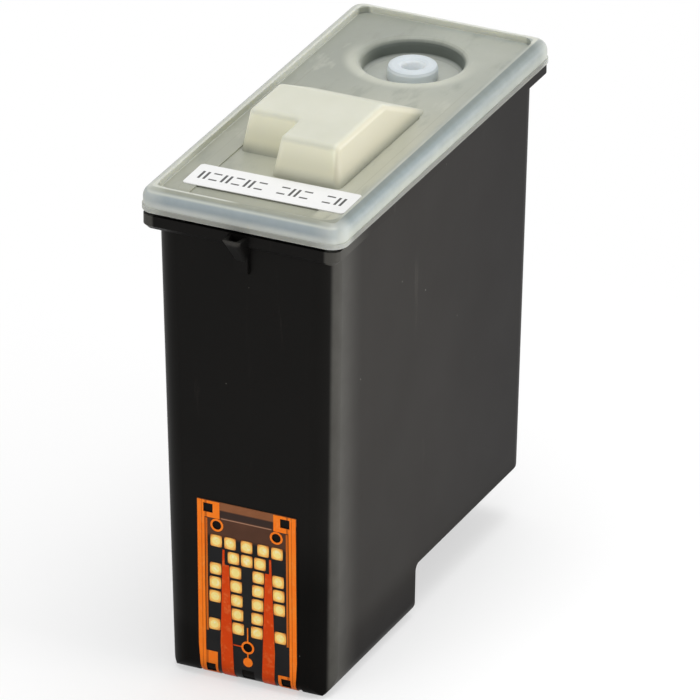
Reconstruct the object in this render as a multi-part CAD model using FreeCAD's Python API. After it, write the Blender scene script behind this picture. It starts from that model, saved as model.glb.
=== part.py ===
import FreeCAD, Part
import math
import os

# Inkjet ink cartridge, in millimetres.
# +Z is up, -Y is the contact face at the front, +X is its right side.
# The origin is the centre of the nozzle plate's outer face.

# Moulded shell
SHELL_W = 23.6              # outside width at the flange
SHELL_L = 58.3              # outside length at the flange
SHELL_H = 61.2              # underside of the foot to the top of the flange
HEAD_SET = 12.7             # front wall to the nozzle plate's centre, at the underside
DRAFT = 1.0                 # mould draft of every outer wall, degrees
WALL = 1.5
CORNER_R = 2.8              # upright corners
FLOOR_T = 1.5               # floor behind the foot
UNDER_EDGE_R = 0.4          # edge round the underside behind the foot

# Foot that carries the printhead
FOOT_L = 25.0               # front to back, measured at its underside
FOOT_H = 6.9                # underside of the foot to the underside behind it
FOOT_FLOOR_T = 2.6
FOOT_FRONT_R = 1.9          # front edge of its underside
FOOT_SIDE_R = 2.4           # side edges of its underside
FOOT_BACK_R = 0.9           # rear edge of its underside
FOOT_INNER_R = 0.7          # inside corner behind it
LIP = 0.15                  # rims of the foot stand this far below the nozzle plate
POCKET_SIDE_GAP = 0.35      # film to the side of its pocket
POCKET_L = 22.0             # pocket under the foot, from the front wall

# Flange and the weld seam that carries the lid
FLANGE_OVER = 1.1
FLANGE_H = 1.9
FLANGE_CORNER_R = 1.2
FLANGE_LOW_CUT = 0.6
SEAM_H = 0.4                # dark gap between flange and lid
SEAM_INSET = 0.3

# Hook on the front flange, with the rib under it
HOOK_OUT = 2.2              # stands this far out of the flange
HOOK_W = 2.4
HOOK_FLARE = 0.25           # each side is this much wider at the flange
HOOK_WALL = 0.55
HOOK_DROP = 0.2             # top of the hook under the top of the flange
HOOK_H = 3.6
HOOK_FOOT_W = 1.6
HOOK_POCKET_H = 1.4
HOOK_NOSE_R = 0.6
RIB_W = 1.9
RIB_OUT = 0.6
RIB_H = 1.8                 # below the hook

# Standpipe inside the foot, and the filter on it
PIPE_W = 9.4
PIPE_L = 18.4
PIPE_WALL = 1.2
PIPE_RISE = 1.6             # top of the standpipe above the floor
SCREEN_T = 0.25
SCREEN_LEDGE = 0.6
SCREEN_GAP = 0.05
INK_SLOT_W = 1.0
INK_SLOT_L = 13.0

# Absorber block
FOAM_GAP = 0.2
FOAM_HEADSPACE = 2.8        # top of the foam under the top of the flange

# Printhead under the foot
CHIP_W = 5.0
CHIP_END = 1.0              # ink slot to each end of the chip
CHIP_T = 0.6
NOZZLE_T = 0.06
CHIP_SIDE_GAP = 0.25
BEAD_W = 1.2
BEAD_DROP = 0.08            # beads stand this far below the nozzle plate
CHIP_SLOT_W = 0.5

# Contact circuit; places on it are x from its middle and the distance down from its top edge
FILM_X = 0.2                # its middle, to the right of the shell's
FILM_TOP = 24.2             # top edge above the underside of the foot
FILM_T = 0.1
COPPER_T = 0.05
BEND_R = 1.6                # inside of the bend round the foot
PAD_T = 0.08
PAD_W = 1.5
PAD_H = 1.54
PAD_CUT = 0.12              # cut corners of a pad
ROW_TOP = 5.27
ROW_PITCH = 1.9
COLUMN_ROW = 9.2            # down to where the two column places below are measured
OUTER_COLUMN = 4.16
INNER_COLUMN = 1.52
OUTER_SPREAD = 0.03         # outer columns lean out by this much on their way down
INNER_SPREAD = 0.036        # inner columns lean in
TOP_ROW_X = 2.2
SECOND_ROW_X = 1.76
TRACE_GAP = 0.1
EDGE_STRIP_W = 0.95         # strips along both edges of the film
EDGE_INSET = 0.05
INNER_STRIP_W = 0.25        # thin strips beside them
INNER_STRIP_TOP = 2.4
INNER_STRIP_H = 15.3
CORNER_PATCH_W = 2.95
CORNER_PATCH_H = 2.2
LOW_PATCH_W = 2.5
LOW_PATCH_TOP_LEFT = 20.5
LOW_PATCH_TOP_RIGHT = 21.8
WAIST_TOP = 19.0            # the film narrows from here down
WAIST = 0.35                # by this much at each side, where it turns under the foot
BUS_TOP = 6.3               # conductors that run down between the columns
BUS_STEM_W = 0.25           # their narrow upper part
HOLE_R = 0.6                # round locating holes
RING_W = 0.25               # copper rings round them
DOT_R = 0.62                # test point under the lowest hole
DOT_DOWN = 21.0
LINE_W = 0.14               # thin conductors

# Lid
LID_SIDE_OVER = 0.5         # over the flange at each side
LID_END_OVER = 0.05         # over the flange at the front and back
LID_T = 2.9                 # underside to the top of the rim
LID_CORNER_R = 2.1
LID_TOP_R = 1.4
LID_STEP = 0.12             # parting line on the side of the lid
LID_STEP_H = 0.6
LID_PLATE_T = 1.4
RIM_W = 1.65
FIELD_CORNER_R = 1.9
FIELD_DROP = 0.8            # field under the top of the rim
PANEL_FRONT_GAP = 0.85      # behind the front edge of the field
PANEL_SIDE_GAP = 0.3        # beside the grip
PANEL_BACK_SET = 2.0        # ahead of the end of the grip's ramp
PANEL_DROP = 0.15
PANEL_R = 0.8
SKIRT_GAP = 0.15
SKIRT_T = 1.0
SKIRT_H = 2.0
LID_RIB_T = 0.8
CROSS_RIB_BACK = 29.9       # cross ribs behind the lid's front edge

# Grip moulded on the lid
GRIP_W = 15.4
GRIP_H = 5.05               # above the field
GRIP_SET = 11.7             # front of its long half behind the lid's front edge
GRIP_SHORT_SET = 4.8        # front of its short half behind that
GRIP_FLAT_L = 13.9          # long front to the top of the ramp
GRIP_RAMP_L = 10.5
GRIP_SIDE_LEAN = 0.6        # each side leans in by this much at the top
GRIP_FRONT_LEAN = 0.7
GRIP_SHORT_LEAN = 1.3
GRIP_NOTCH_X = -1.3         # side of the long half, at the field
GRIP_NOTCH_LEAN = 0.9
GRIP_R = 0.8
GRIP_WALL = 1.3

# Well in the lid, and the collar plug in it
WELL_SET = 11.98            # its centre ahead of the lid's back edge
WELL_R = 6.27
WELL_DEPTH = 2.4
WELL_FLOOR_T = 1.3
WELL_WALL = 1.2
WELL_LIP_R = 0.9
WELL_LIP_STEPS = 4
WELL_FOOT_CUT = 0.4
VENT_R = 0.3
VENT_X = 3.8
PLUG_R = 3.1
PLUG_BORE_R = 1.45
PLUG_BORE_DEPTH = 3.2
PLUG_TOP_DROP = 0.55        # top of the plug under the field
PLUG_EDGE_R = 0.5
PLUG_STEM_R = 2.2
PLUG_BARB_R = 2.6
PLUG_BARB_H = 1.0

# Label across the lid
LABEL_LEFT_GAP = 1.8        # to the edges of the field
LABEL_RIGHT_GAP = 0.7
LABEL_FRONT_GAP = 3.75
LABEL_L = 5.6
LABEL_T = 0.1
LABEL_CUT = 0.3             # cut corners of the label
LABEL_TURN = 0.8            # degrees

# Levels and places that follow from the sizes above
TAPER = math.tan(math.radians(DRAFT))
FOOT_Z = -LIP
FLANGE_Z = FOOT_Z + SHELL_H
STEP_Z = FOOT_Z + FOOT_H
FLOOR_Z = STEP_Z + FLOOR_T
FOOT_FLOOR_Z = FOOT_Z + FOOT_FLOOR_T
SEAT_Z = FILM_T + COPPER_T
CHIP_L = INK_SLOT_L + 2 * CHIP_END
CHIP_Z = NOZZLE_T
CHIP_TOP_Z = CHIP_Z + CHIP_T
PIPE_Z = FLOOR_Z + PIPE_RISE
FOAM_Z = FLANGE_Z - FOAM_HEADSPACE
LID_Z = FLANGE_Z + SEAM_H
RIM_Z = LID_Z + LID_T
FIELD_Z = RIM_Z - FIELD_DROP
PLATE_Z = FIELD_Z - LID_PLATE_T
PANEL_Z = FIELD_Z - PANEL_DROP
GRIP_Z = FIELD_Z + GRIP_H
WELL_Z = FIELD_Z - WELL_DEPTH
WELL_LOW_Z = WELL_Z - WELL_FLOOR_T
FILM_Z = FOOT_Z + FILM_TOP

FOOT_BACK_Y = FOOT_L - HEAD_SET
MID_Y = SHELL_L / 2 - HEAD_SET - SHELL_H * TAPER
FLANGE_W = SHELL_W + 2 * FLANGE_OVER
FLANGE_L = SHELL_L + 2 * FLANGE_OVER
LID_W = FLANGE_W + 2 * LID_SIDE_OVER
LID_L = FLANGE_L + 2 * LID_END_OVER
LID_FRONT_Y = MID_Y - LID_L / 2
LID_BACK_Y = MID_Y + LID_L / 2
FIELD_W = LID_W - 2 * RIM_W
FIELD_L = LID_L - 2 * RIM_W
FIELD_FRONT_Y = LID_FRONT_Y + RIM_W
GRIP_FRONT_Y = LID_FRONT_Y + GRIP_SET
GRIP_SHORT_Y = GRIP_FRONT_Y + GRIP_SHORT_SET
RAMP_TOP_Y = GRIP_FRONT_Y + GRIP_FLAT_L
RAMP_END_Y = RAMP_TOP_Y + GRIP_RAMP_L
PANEL_W = GRIP_W + 2 * PANEL_SIDE_GAP
PANEL_FRONT_Y = FIELD_FRONT_Y + PANEL_FRONT_GAP
PANEL_BACK_Y = RAMP_END_Y - PANEL_BACK_SET
WELL_Y = LID_BACK_Y - WELL_SET
REACH = 100.0               # longer than anything on the part


def half_width(z):
    return SHELL_W / 2 - (FLANGE_Z - z) * TAPER


def front_y(z):
    return MID_Y - SHELL_L / 2 + (FLANGE_Z - z) * TAPER


def back_y(z):
    return MID_Y + SHELL_L / 2 - (FLANGE_Z - z) * TAPER


# General shapes

def vec(x, y, z):
    return FreeCAD.Vector(x, y, z)


def prism(outline, direction):
    wire = Part.makePolygon(outline + outline[:1])
    return Part.Face(wire).extrude(direction)


def prism_x(points, x_low, x_high):
    """Outline of (y, z) points, drawn out along X."""
    return prism([vec(x_low, y, z) for y, z in points], vec(x_high - x_low, 0, 0))


def prism_y(points, y_low, y_high):
    """Outline of (x, z) points, drawn out along Y."""
    return prism([vec(x, y_low, z) for x, z in points], vec(0, y_high - y_low, 0))


def box(x_low, x_high, y_low, y_high, z_low, z_high):
    return Part.makeBox(x_high - x_low, y_high - y_low, z_high - z_low, vec(x_low, y_low, z_low))


def upright(edge):
    size = edge.BoundBox
    return size.ZLength > 4 * max(size.XLength, size.YLength)


def at_height(edge, z):
    size = edge.BoundBox
    return abs(size.ZMin - z) < 1e-4 and abs(size.ZMax - z) < 1e-4


def rounded_plate(width, length, y_mid, z_low, z_high, radius):
    """Upright block with rounded corners, centred on X = 0."""
    plate = box(-width / 2, width / 2, y_mid - length / 2, y_mid + length / 2, z_low, z_high)
    return plate.makeFillet(radius, [e for e in plate.Edges if upright(e)])


def turned(profile, x, y):
    """Solid of revolution about the upright line through x, y, from (radius, z) points."""
    points = [vec(x + r, y, z) for r, z in profile]
    face = Part.Face(Part.makePolygon(points + points[:1]))
    return face.revolve(vec(x, y, 0), vec(0, 0, 1), 360)


def drafted_block(inset, z_low, z_high, radius, back=None):
    """Block inside the shell's drafted walls, inset from them, with rounded upright corners."""
    back_low = back_y(z_low) - inset if back is None else back
    back_high = back_y(z_high) - inset if back is None else back
    side = [(front_y(z_low) + inset, z_low), (back_low, z_low),
            (back_high, z_high), (front_y(z_high) + inset, z_high)]
    low = half_width(z_low) - inset
    high = half_width(z_high) - inset
    front = [(-low, z_low), (low, z_low), (high, z_high), (-high, z_high)]
    block = prism_x(side, -REACH, REACH).common(prism_y(front, -REACH, REACH))
    return block.makeFillet(radius, [e for e in block.Edges if upright(e)])


# Body

def shell_block():
    """Outside of the shell with its foot, rounded, with no flange."""
    block = drafted_block(0, FOOT_Z - 1, FLANGE_Z, CORNER_R)
    behind = box(-REACH, REACH, FOOT_BACK_Y, REACH, -REACH, STEP_Z)
    behind = behind.makeFillet(FOOT_INNER_R, [e for e in behind.Edges if across_at(e, FOOT_BACK_Y, STEP_Z)])
    block = block.cut(behind)
    block = block.makeFillet(UNDER_EDGE_R, [e for e in block.Edges if across_at(e, back_y(STEP_Z), STEP_Z)])
    return block.common(foot_side()).common(foot_front())


def across_at(edge, y, z):
    """True for an edge that runs across the part at this place."""
    size = edge.BoundBox
    return abs(size.YMin - y) < 1e-4 and abs(size.YMax - y) < 1e-4 and at_height(edge, z)


def foot_side():
    """Outline from the side, with the front and rear edges of the foot rounded."""
    top = FLANGE_Z + 1
    half_up = (FOOT_Z + STEP_Z) / 2
    side = prism_x([(front_y(FOOT_Z), FOOT_Z), (FOOT_BACK_Y, FOOT_Z), (FOOT_BACK_Y, half_up),
                    (REACH, half_up), (REACH, top), (front_y(top), top)], -REACH, REACH)
    side = side.makeFillet(FOOT_FRONT_R, [e for e in side.Edges if across_at(e, front_y(FOOT_Z), FOOT_Z)])
    return side.makeFillet(FOOT_BACK_R, [e for e in side.Edges if across_at(e, FOOT_BACK_Y, FOOT_Z)])


def foot_front():
    """Outline from the front, with the side edges of the foot rounded."""
    top = FLANGE_Z + 1
    low = half_width(FOOT_Z)
    high = half_width(top)
    front = prism_y([(-low, FOOT_Z), (low, FOOT_Z), (high, top), (-high, top)], -REACH, REACH)
    low_edges = [e for e in front.Edges if at_height(e, FOOT_Z) and e.BoundBox.YLength > REACH]
    return front.makeFillet(FOOT_SIDE_R, low_edges)


def flange():
    z_low = FLANGE_Z - FLANGE_H
    ring = rounded_plate(FLANGE_W, FLANGE_L, MID_Y, z_low, FLANGE_Z, FLANGE_CORNER_R)
    return ring.makeChamfer(FLANGE_LOW_CUT, [e for e in ring.Edges if at_height(e, z_low)])


def cavity():
    radius = CORNER_R - WALL
    tank = drafted_block(WALL, FLOOR_Z, LID_Z + 1, radius)
    well = drafted_block(WALL, FOOT_FLOOR_Z, FLOOR_Z + 1, radius, FOOT_BACK_Y - WALL)
    return tank.fuse(well)


def hook_outline(half_front, half_back, y_front, y_back, z):
    """Plan of the hook: a nose with two rounded corners, wider where it meets the flange."""
    r = min(HOOK_NOSE_R, half_front * 0.6)
    turn = r * (1 - math.sqrt(0.5))
    points = [vec(-half_back, y_back, z), vec(-half_front, y_front + r, z),
              vec(-half_front + turn, y_front + turn, z), vec(-half_front + r, y_front, z),
              vec(half_front - r, y_front, z), vec(half_front - turn, y_front + turn, z),
              vec(half_front, y_front + r, z), vec(half_back, y_back, z)]
    edges = [Part.makeLine(points[0], points[1]),
             Part.Arc(points[1], points[2], points[3]).toShape(),
             Part.makeLine(points[3], points[4]),
             Part.Arc(points[4], points[5], points[6]).toShape(),
             Part.makeLine(points[6], points[7]),
             Part.makeLine(points[7], points[0])]
    return Part.Wire(edges)


def hook():
    """Small open cup on the flange, tapering down to a rib on the front wall."""
    z_top = FLANGE_Z - HOOK_DROP
    z_low = z_top - HOOK_H
    root = front_y(FLANGE_Z) + WALL / 2
    nose = front_y(FLANGE_Z) - FLANGE_OVER - HOOK_OUT
    low_nose = front_y(z_low) - RIB_OUT
    top = hook_outline(HOOK_W / 2, HOOK_W / 2 + HOOK_FLARE, nose, root, z_top)
    low = hook_outline(HOOK_FOOT_W / 2, HOOK_FOOT_W / 2, low_nose, root, z_low)
    cup = Part.makeLoft([low, top], True, True)
    inner = HOOK_W / 2 - HOOK_WALL
    z_pocket = z_top - HOOK_POCKET_H
    pocket_root = front_y(FLANGE_Z) - FLANGE_OVER
    lean = (low_nose - nose) * HOOK_POCKET_H / HOOK_H
    mouth = hook_outline(inner, inner + HOOK_FLARE, nose + HOOK_WALL, pocket_root, z_top)
    bottom = hook_outline(inner * 0.8, inner * 0.8, nose + HOOK_WALL + lean, pocket_root, z_pocket)
    cup = cup.cut(Part.makeLoft([bottom, mouth], True, True))
    z_rib = z_low - RIB_H
    side = [(front_y(z_rib) + WALL / 2, z_rib), (front_y(z_rib), z_rib),
            (front_y(z_rib) - RIB_OUT, z_rib + RIB_OUT / 2), (front_y(z_low) - RIB_OUT, z_low),
            (front_y(FLANGE_Z) - RIB_OUT, FLANGE_Z - FLANGE_H), (root, FLANGE_Z - FLANGE_H)]
    rib = prism_x(side, -RIB_W / 2, RIB_W / 2)
    return cup.fuse(rib)


def standpipe():
    """Open pipe over the ink slot, with a ledge for the filter screen."""
    outer = rounded_plate(PIPE_W, PIPE_L, 0, FOOT_FLOOR_Z - 0.5, PIPE_Z, PIPE_WALL)
    bore_w = PIPE_W - 2 * PIPE_WALL
    bore_l = PIPE_L - 2 * PIPE_WALL
    bore = rounded_plate(bore_w, bore_l, 0, FOOT_FLOOR_Z, PIPE_Z + 1, PIPE_WALL / 2)
    across = bore_w / 2 + SCREEN_LEDGE
    along = bore_l / 2 + SCREEN_LEDGE
    rebate = box(-across, across, -along, along, PIPE_Z - SCREEN_T, PIPE_Z + 1)
    return outer.cut(bore).cut(rebate)


def body():
    shape = shell_block().fuse(flange())
    shape = shape.fuse(drafted_block(SEAM_INSET, FLANGE_Z - 1, LID_Z, CORNER_R - SEAM_INSET))
    shape = shape.cut(cavity())
    shape = shape.fuse(hook()).cut(cavity())
    shape = shape.fuse(standpipe())
    pocket = bent_sheet(0, BEND_R, FILM_HALF + POCKET_SIDE_GAP, SEAT_Z + BEND_R, POCKET_L)
    shape = shape.cut(pocket)
    shape = shape.cut(chip_recess(SEAT_Z - 1, CHIP_TOP_Z))
    slot = box(-INK_SLOT_W / 2, INK_SLOT_W / 2, -INK_SLOT_L / 2, INK_SLOT_L / 2, 0, FOOT_FLOOR_Z + 1)
    return shape.cut(slot).removeSplitter()


# Printhead

def chip_recess(z_low, z_high):
    """Space for the chip and its end beads."""
    half = CHIP_W / 2 + CHIP_SIDE_GAP
    end = CHIP_L / 2 + BEAD_W
    return box(-half, half, -end, end, z_low, z_high)


def printhead_chip():
    chip = box(-CHIP_W / 2, CHIP_W / 2, -CHIP_L / 2, CHIP_L / 2, CHIP_Z, CHIP_TOP_Z)
    half = INK_SLOT_L / 2
    slot = box(-CHIP_SLOT_W / 2, CHIP_SLOT_W / 2, -half, half, CHIP_Z, CHIP_TOP_Z)
    return chip.cut(slot)


def nozzle_plate():
    return box(-CHIP_W / 2, CHIP_W / 2, -CHIP_L / 2, CHIP_L / 2, 0, NOZZLE_T)


def encapsulant():
    """Two beads, each across one end of the chip, bulging a little below it."""
    half = CHIP_W / 2 + CHIP_SIDE_GAP
    beads = []
    for end in (-1, 1):
        near = end * CHIP_L / 2
        far = end * (CHIP_L / 2 + BEAD_W)
        middle = (near + far) / 2
        crown = Part.Arc(vec(-half, far, 0), vec(-half, middle, -BEAD_DROP), vec(-half, near, 0))
        sides = Part.makePolygon([vec(-half, near, 0), vec(-half, near, CHIP_TOP_Z),
                                  vec(-half, far, CHIP_TOP_Z), vec(-half, far, 0)])
        outline = Part.Wire([crown.toShape()] + sides.Edges)
        beads.append(Part.Face(outline).extrude(vec(2 * half, 0, 0)))
    return Part.makeCompound(beads)


# Contact circuit

def outer_column(down):
    return OUTER_COLUMN + OUTER_SPREAD * (down - COLUMN_ROW)


def inner_column(down):
    return INNER_COLUMN - INNER_SPREAD * (down - COLUMN_ROW)


def row(number):
    """Distance down to a row of pads, counted from 0 at the top."""
    return ROW_TOP + number * ROW_PITCH


LAST_ROW = 6
STRIP_X = outer_column(row(LAST_ROW)) + PAD_W / 2 + TRACE_GAP + INNER_STRIP_W / 2
FILM_HALF = STRIP_X + INNER_STRIP_W / 2 + TRACE_GAP + EDGE_STRIP_W + EDGE_INSET
FILM_END = POCKET_L - POCKET_SIDE_GAP


def pad_places():
    """Middles of the pads: two leaning pairs of columns, a full top row and a short row."""
    places = [(side * x, row(0)) for x in (TOP_ROW_X, outer_column(row(0))) for side in (-1, 1)]
    places += [(0, row(0)), (0, row(1)), (-SECOND_ROW_X, row(1)), (SECOND_ROW_X, row(1))]
    for number in (2, 3, 4, 5, LAST_ROW):
        places += [(side * inner_column(row(number)), row(number)) for side in (-1, 1)]
    for number in (2, 3, 4, LAST_ROW):
        places += [(side * outer_column(row(number)), row(number)) for side in (-1, 1)]
    return places


def bent_sheet(inside, outside, half, z_top, length):
    """Sheet that lies on the front wall and turns under the foot.

    inside and outside are its two faces, measured outwards from the wall it is glued to.
    """
    draft = math.radians(DRAFT)
    normal = vec(0, -math.cos(draft), -math.sin(draft))
    down = vec(0, 0, -1)
    z_mid = SEAT_Z + BEND_R
    left = FILM_X - half
    centre = vec(left, front_y(z_mid) + BEND_R / math.cos(draft), z_mid)
    halfway = (normal + down).normalize()
    top = vec(left, front_y(z_top), z_top)
    y_end = front_y(FOOT_Z) + length

    def turn(face, direction):
        return centre + direction * (BEND_R + face)

    def start(face):
        return top + normal * face

    def end(face):
        return vec(left, y_end, SEAT_Z - face)

    inner_bend = Part.Arc(turn(inside, normal), turn(inside, halfway), turn(inside, down))
    outer_bend = Part.Arc(turn(outside, down), turn(outside, halfway), turn(outside, normal))
    edges = [inner_bend.toShape(),
             Part.makeLine(turn(inside, down), end(inside)),
             Part.makeLine(end(inside), end(outside)),
             Part.makeLine(end(outside), turn(outside, down)),
             outer_bend.toShape()]
    if z_top > z_mid + 0.01:
        edges.append(Part.makeLine(turn(outside, normal), start(outside)))
        edges.append(Part.makeLine(start(outside), start(inside)))
        edges.append(Part.makeLine(start(inside), turn(inside, normal)))
    else:
        edges.append(Part.makeLine(turn(outside, normal), turn(inside, normal)))
    return Part.Face(Part.Wire(edges)).extrude(vec(2 * half, 0, 0))


def on_film(x, down):
    """X and Z of a place on the front of the film."""
    z = FILM_Z - down * math.cos(math.radians(DRAFT))
    return FILM_X + x, z


def film_rod(x, down, radius):
    """Round bar through the front of the film."""
    x_rod, z = on_film(x, down)
    return Part.makeCylinder(radius, 3, vec(x_rod, front_y(z) - 1.5, z), vec(0, 1, 0))


def film_patch(points):
    """Bar through the front of the film, with an outline of (x, down) points."""
    outline = [on_film(x, down) for x, down in points]
    return prism_y(outline, front_y(FLANGE_Z) - 1, front_y(FOOT_Z) + 1)


def film_block(x, down, width, height):
    left = x - width / 2
    right = x + width / 2
    low = down + height / 2
    high = down - height / 2
    return film_patch([(left, low), (right, low), (right, high), (left, high)])


# Square sprocket windows near the corners and bottom, as x, down, width, height
WINDOWS = [(-5.1, 1.0, 1.25, 1.2), (5.1, 1.0, 1.25, 1.2),
           (-4.95, 22.8, 1.25, 1.2), (5.05, 22.8, 1.25, 1.2), (0, 22.8, 1.6, 1.3)]
# Round locating holes, as x and down
HOLES = [(-3.95, 3.15), (3.95, 3.15), (0, 19.0)]


def film_waist(side):
    """Wedge beside the film that narrows it where it turns under the foot."""
    below = 2 * FILM_TOP
    narrow = side * (FILM_HALF - WAIST)
    outline = [(side * FILM_HALF, WAIST_TOP), (narrow, FILM_TOP), (narrow, below),
               (side * 2 * FILM_HALF, below), (side * 2 * FILM_HALF, WAIST_TOP)]
    return prism_y([on_film(x, down) for x, down in outline], -REACH, REACH)


def film_openings():
    cuts = [film_block(*window) for window in WINDOWS]
    cuts += [film_rod(x, down, HOLE_R) for x, down in HOLES]
    cuts += [film_waist(-1), film_waist(1)]
    return cuts


def flex_film():
    film = bent_sheet(0, FILM_T, FILM_HALF, FILM_Z, FILM_END)
    for opening in film_openings():
        film = film.cut(opening)
    return film.cut(chip_recess(FOOT_Z, SEAT_Z + 1))


def bus(side):
    """Conductor between two columns of pads: a narrow stem, then as wide as the space between them."""
    clear = PAD_W / 2 + TRACE_GAP
    wide_from = row(2) - PAD_H / 2
    bottom = FILM_TOP + 1
    top_x = outer_column(BUS_TOP) - clear
    waist_x = outer_column(WAIST_TOP) - clear
    outline = [(top_x, BUS_TOP), (waist_x, WAIST_TOP), (waist_x - WAIST / 2, bottom),
               (inner_column(bottom) + clear, bottom), (inner_column(wide_from) + clear, wide_from),
               (top_x - BUS_STEM_W, wide_from), (top_x - BUS_STEM_W, BUS_TOP)]
    return film_patch([(side * x, down) for x, down in outline])


def conductor_bars():
    """Bars whose overlap with the copper layer is the conductors."""
    edge = FILM_HALF - EDGE_INSET
    bars = []
    for side, low_top in ((-1, LOW_PATCH_TOP_LEFT), (1, LOW_PATCH_TOP_RIGHT)):
        strip = sorted((FILM_X + side * edge, FILM_X + side * (edge - EDGE_STRIP_W)))
        bars.append(box(strip[0], strip[1], -REACH, REACH, -1, FILM_Z - EDGE_INSET))
        x_corner = side * (edge - CORNER_PATCH_W / 2)
        bars.append(film_block(x_corner, EDGE_INSET + CORNER_PATCH_H / 2, CORNER_PATCH_W, CORNER_PATCH_H))
        x_low = side * (edge - LOW_PATCH_W / 2)
        low_h = FILM_TOP - low_top
        bars.append(film_block(x_low, low_top + low_h / 2, LOW_PATCH_W, low_h))
        middle = INNER_STRIP_TOP + INNER_STRIP_H / 2
        bars.append(film_block(side * STRIP_X, middle, INNER_STRIP_W, INNER_STRIP_H))
        bars.append(bus(side))
    bars += [film_rod(x, down, HOLE_R + RING_W) for x, down in HOLES]
    bars.append(film_rod(0, DOT_DOWN, DOT_R))
    line_top = row(LAST_ROW) - PAD_H / 4
    bars.append(film_block(0, (line_top + DOT_DOWN) / 2, LINE_W, DOT_DOWN - line_top))
    hole_down = HOLES[-1][1]
    line_l = inner_column(hole_down) + PAD_W / 2
    bars.append(film_block(-line_l / 2, hole_down, line_l, LINE_W))
    return bars


def copper_traces():
    layer = bent_sheet(FILM_T, FILM_T + COPPER_T, FILM_HALF, FILM_Z, FILM_END)
    bars = conductor_bars()
    pattern = bars[0].fuse(bars[1:])
    copper = layer.common(pattern)
    for opening in film_openings():
        copper = copper.cut(opening)
    copper = copper.cut(chip_recess(FOOT_Z, SEAT_Z + 1))
    return Part.makeCompound(copper.Solids)


def pad_bar(x, down):
    """Bar with the outline of a pad, its corners cut off."""
    half_w = PAD_W / 2
    half_h = PAD_H / 2
    short_w = half_w - PAD_CUT
    short_h = half_h - PAD_CUT
    corners = [(half_w, short_h), (short_w, half_h), (-short_w, half_h), (-half_w, short_h),
               (-half_w, -short_h), (-short_w, -half_h), (short_w, -half_h), (half_w, -short_h)]
    return film_patch([(x + across, down + along) for across, along in corners])


def contact_pads():
    layer = bent_sheet(FILM_T, FILM_T + PAD_T, FILM_HALF, FILM_Z, FILM_END)
    pads = []
    for x, down in pad_places():
        pads += pad_bar(x, down).common(layer).Solids
    return Part.makeCompound(pads)


# Inside

def filter_screen():
    across = PIPE_W / 2 - PIPE_WALL + SCREEN_LEDGE - SCREEN_GAP
    along = PIPE_L / 2 - PIPE_WALL + SCREEN_LEDGE - SCREEN_GAP
    return box(-across, across, -along, along, PIPE_Z - SCREEN_T, PIPE_Z)


def ink_foam():
    """Absorber block, pressed in over the standpipe."""
    radius = CORNER_R - WALL
    foam = drafted_block(WALL + FOAM_GAP, FLOOR_Z, FOAM_Z, radius)
    width = PIPE_W + 2 * FOAM_GAP
    length = PIPE_L + 2 * FOAM_GAP
    return foam.cut(rounded_plate(width, length, 0, FLOOR_Z - 1, PIPE_Z, PIPE_WALL))


# Lid

def lid_plate():
    """Outside of the lid with its parting step, and the recessed field."""
    step_z = LID_Z + LID_STEP_H
    low = rounded_plate(LID_W, LID_L, MID_Y, LID_Z, step_z, LID_CORNER_R)
    inset = 2 * LID_STEP
    high = rounded_plate(LID_W - inset, LID_L - inset, MID_Y, LID_Z, RIM_Z, LID_CORNER_R - LID_STEP)
    high = high.makeFillet(LID_TOP_R, [e for e in high.Edges if at_height(e, RIM_Z)])
    field = rounded_plate(FIELD_W, FIELD_L, MID_Y, FIELD_Z, RIM_Z + 1, FIELD_CORNER_R)
    return low.fuse(high).cut(field)


def lid_underside():
    """Space under the plate, inside the locating skirt."""
    inset = WALL + SKIRT_GAP + SKIRT_T
    return drafted_block(inset, LID_Z - SKIRT_H - 1, PLATE_Z, CORNER_R - WALL)


def skirt():
    outer = drafted_block(WALL + SKIRT_GAP, LID_Z - SKIRT_H, LID_Z + 0.3, CORNER_R - WALL)
    return outer.cut(lid_underside())


def grip_half(x_low, x_high, lean_low, lean_high, front, front_lean, inset):
    """One half of the grip: flat on top, then a ramp down to the field behind.

    The x values and the front are at the field; each lean is how far that side comes in at the top.
    With an inset it is the hollow under the same half, open below.
    """
    z_low = PANEL_Z if inset == 0 else FOAM_Z
    z_high = GRIP_Z - inset
    below = (FIELD_Z - z_low) / GRIP_H
    side = [(front + inset - front_lean * below, z_low), (front + inset + front_lean, z_high),
            (RAMP_TOP_Y - inset / 2, z_high)]
    if inset == 0:
        side.append((RAMP_END_Y + GRIP_RAMP_L * below, z_low))
    else:
        y_end = RAMP_END_Y - 2.2 * inset
        side += [(y_end, FIELD_Z - inset), (y_end, z_low)]
    across = [(x_low + inset - lean_low * below, z_low), (x_high - inset + lean_high * below, z_low),
              (x_high - inset - lean_high, z_high), (x_low + inset + lean_low, z_high)]
    return prism_x(side, -REACH, REACH).common(prism_y(across, -REACH, REACH))


def grip_block(inset):
    half = GRIP_W / 2
    lean = GRIP_SIDE_LEAN
    long_half = grip_half(GRIP_NOTCH_X, half, GRIP_NOTCH_LEAN, lean, GRIP_FRONT_Y, GRIP_FRONT_LEAN, inset)
    short_half = grip_half(-half, half, lean, lean, GRIP_SHORT_Y, GRIP_SHORT_LEAN, inset)
    return long_half.fuse(short_half).removeSplitter()


def grip():
    block = grip_block(0)
    edges = [e for e in block.Edges if e.BoundBox.ZMax > PANEL_Z + 0.1]
    return block.makeFillet(GRIP_R, edges)


def well_cup():
    """Boss under the plate that holds the round well."""
    return Part.makeCylinder(WELL_R + WELL_WALL, FIELD_Z - WELL_LOW_Z, vec(0, WELL_Y, WELL_LOW_Z))


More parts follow.
